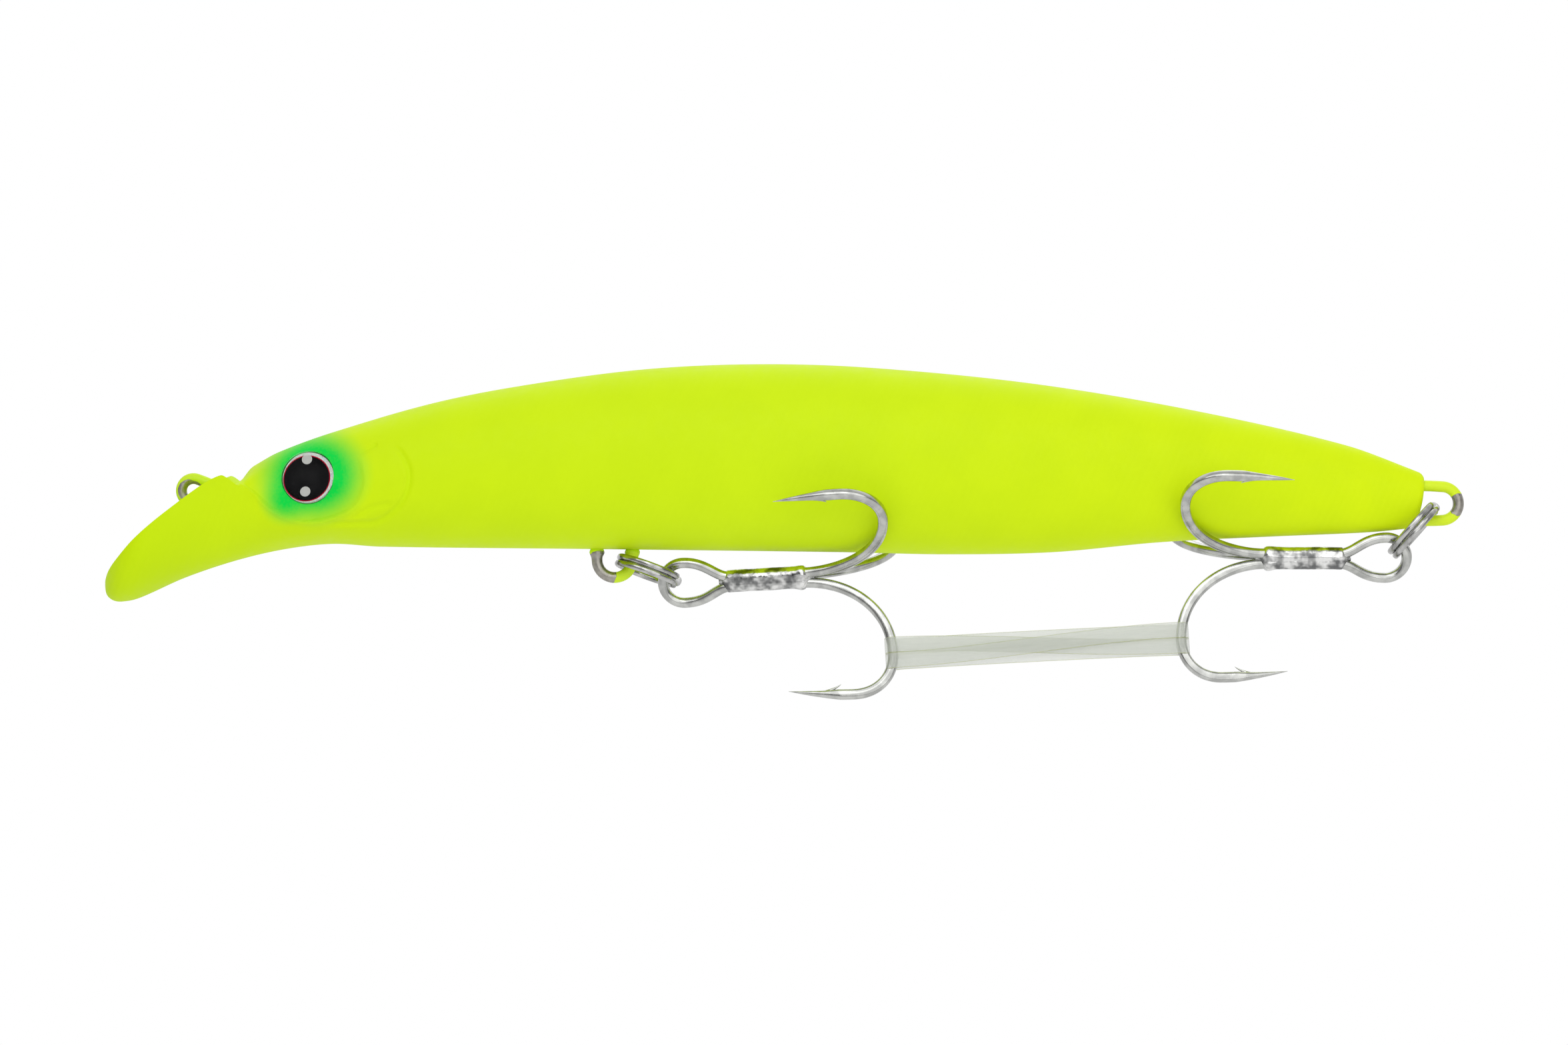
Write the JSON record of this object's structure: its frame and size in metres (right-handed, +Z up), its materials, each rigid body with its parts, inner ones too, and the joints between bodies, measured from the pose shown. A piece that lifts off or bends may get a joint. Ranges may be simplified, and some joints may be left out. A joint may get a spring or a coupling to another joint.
{
  "type": "minnow crankbait lure",
  "caption": "Slender hard-bodied fishing lure with a moulded diving lip, a through-wire, split rings, treble hooks and an elastic hook band.",
  "frame": {"origin": "centre of the line-tie loop at the lure's nose", "axes": "+X along the body towards the tail, +Y to the lure's right side, +Z up towards the back"},
  "size_m": [0.1234, 0.0204, 0.0304],
  "materials": {
    "body_paint": "matte",
    "hanger_wire": "satin",
    "eye_foil": "gloss",
    "eye_lens": "gloss",
    "ballast": "satin",
    "magnet": "satin",
    "split_ring": "polished",
    "hook": "polished",
    "braze": "satin",
    "band": "satin"
  },
  "bodies": {
    "lure_body": {"left_shell": "body_paint", "right_shell": "body_paint", "through_wire": "hanger_wire", "left_eye_foil": "eye_foil", "right_eye_foil": "eye_foil", "left_eye_lens": "eye_lens", "right_eye_lens": "eye_lens", "chin_weight": "ballast", "weight_magnet": "magnet"},
    "casting_weights": {"front_casting_ball": "ballast", "middle_casting_ball": "ballast", "rear_casting_ball": "ballast"},
    "front_ring": {"front_split_ring": "split_ring"},
    "front_treble": {"front_treble_double_hook": "hook", "front_treble_single_hook": "hook", "front_treble_braze": "braze"},
    "tail_ring": {"tail_split_ring": "split_ring"},
    "rear_treble": {"rear_treble_double_hook": "hook", "rear_treble_single_hook": "hook", "rear_treble_braze": "braze"},
    "band": {"hook_band": "band"}
  },
  "joints": [
    {"name": "weight_shift", "type": "slide", "parent": "lure_body", "child": "casting_weights", "axis": [1, 0, 0], "range_m": [0, 0.035]},
    {"name": "front_ring_swing", "type": "hinge", "parent": "lure_body", "child": "front_ring", "pos_m": [0.0394, 0, -0.00745], "axis": [1, 0, 0], "range_deg": [0, 8], "deforming": ["hook_band"]},
    {"name": "front_treble_swing", "type": "hinge", "parent": "front_ring", "child": "front_treble", "pos_m": [0.04395, 0, -0.00824], "axis": [0, 1, 0], "range_deg": [0, 150], "deforming": ["hook_band"]},
    {"name": "tail_ring_swing", "type": "hinge", "parent": "lure_body", "child": "tail_ring", "pos_m": [0.1129, 0, -0.0027], "axis": [1, 0, 0], "range_deg": [0, 20], "deforming": ["hook_band"]},
    {"name": "rear_treble_swing", "type": "hinge", "parent": "tail_ring", "child": "rear_treble", "pos_m": [0.10912, 0, -0.00569], "axis": [0, -1, 0], "range_deg": [0, 135], "deforming": ["hook_band"]},
    {"name": "band_slip", "type": "hinge", "parent": "front_treble", "child": "band", "pos_m": [0.0566, -0.00251, -0.01532], "axis": [0.0956, 0.977, -0.1905], "range_deg": [-60, 0]}
  ],
  "couplings": [
    {"joint": "band_slip", "follows": "front_treble_swing", "ratio": -0.4}
  ]
}
